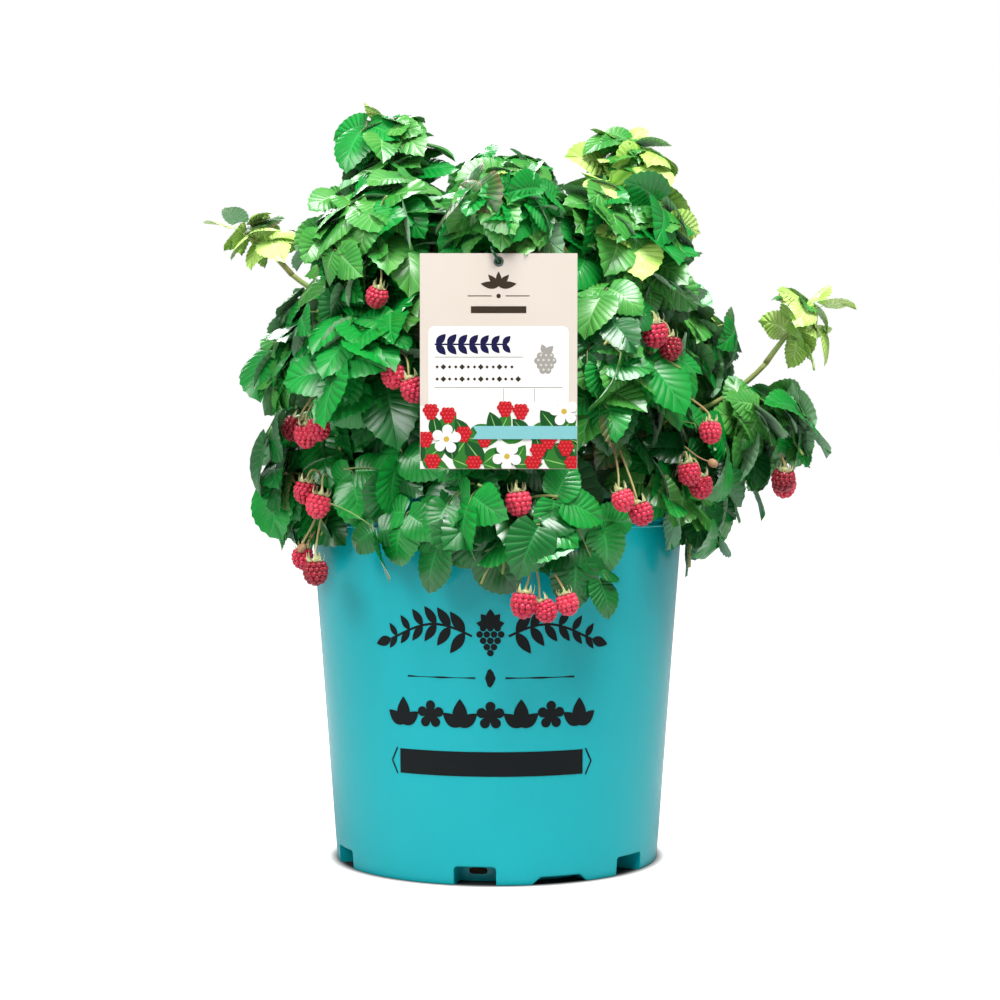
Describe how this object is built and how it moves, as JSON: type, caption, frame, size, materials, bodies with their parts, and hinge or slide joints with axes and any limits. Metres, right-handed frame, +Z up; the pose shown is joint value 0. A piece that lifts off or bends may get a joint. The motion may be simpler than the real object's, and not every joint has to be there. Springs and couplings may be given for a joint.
{
  "type": "raspberry bush in a pot",
  "caption": "Compact fruiting raspberry bush in a round plastic nursery pot: arching canes with toothed three-part leaves, trusses of ripe pink-red berries and a plain hanging plant label.",
  "frame": {"origin": "centre of the pot's flat underside, on the ground", "axes": "+Z up, -Y towards the front where the label hangs, +X to the right seen from the front"},
  "size_m": [0.3943, 0.3338, 0.4752],
  "materials": {
    "pot": "glossy moulded teal polypropylene",
    "soil": "dark bark compost",
    "card": "satin cream plastic label card, plain printed design",
    "tie": "soft dark green plastic tie",
    "bark": "smooth green-brown bark with fine bristles",
    "foliage": "fresh green pleated leaves with paler undersides and pink-red berries"
  },
  "bodies": {
    "root": {"pot": "pot", "soil": "soil", "label_card": "card", "label_tie": "tie", "cane_1": "bark", "cane_2": "bark", "cane_3": "bark", "cane_4": "bark", "cane_5": "bark", "cane_6": "bark", "cane_7": "bark", "cane_8": "bark", "bough_skirt_0": "bark", "bough_skirt_1": "bark", "bough_skirt_2": "bark", "bough_skirt_3": "bark", "bough_skirt_4": "bark", "bough_skirt_5": "bark", "bough_waist_0": "bark", "bough_waist_1": "bark", "bough_waist_2": "bark", "bough_waist_3": "bark", "bough_waist_4": "bark", "bough_brow": "bark", "bough_shoot_left": "bark", "bough_shoot_right": "bark", "bough_spray_right": "bark", "leaves_skirt_0": "foliage", "leaves_skirt_1": "foliage", "leaves_skirt_2": "foliage", "leaves_skirt_3": "foliage", "leaves_skirt_4": "foliage", "leaves_skirt_5": "foliage", "leaves_waist_0": "foliage", "leaves_waist_1": "foliage", "leaves_waist_2": "foliage", "leaves_waist_3": "foliage", "leaves_waist_4": "foliage", "leaves_upper_0": "foliage", "leaves_upper_1": "foliage", "leaves_upper_2": "foliage", "leaves_upper_3": "foliage", "leaves_tower_left": "foliage", "leaves_tower_right": "foliage", "leaves_crown_front": "foliage", "leaves_crown_back": "foliage", "leaves_brow": "foliage", "leaves_shoot_left": "foliage", "leaves_shoot_right": "foliage", "leaves_spray_right": "foliage"}
  },
  "joints": []
}
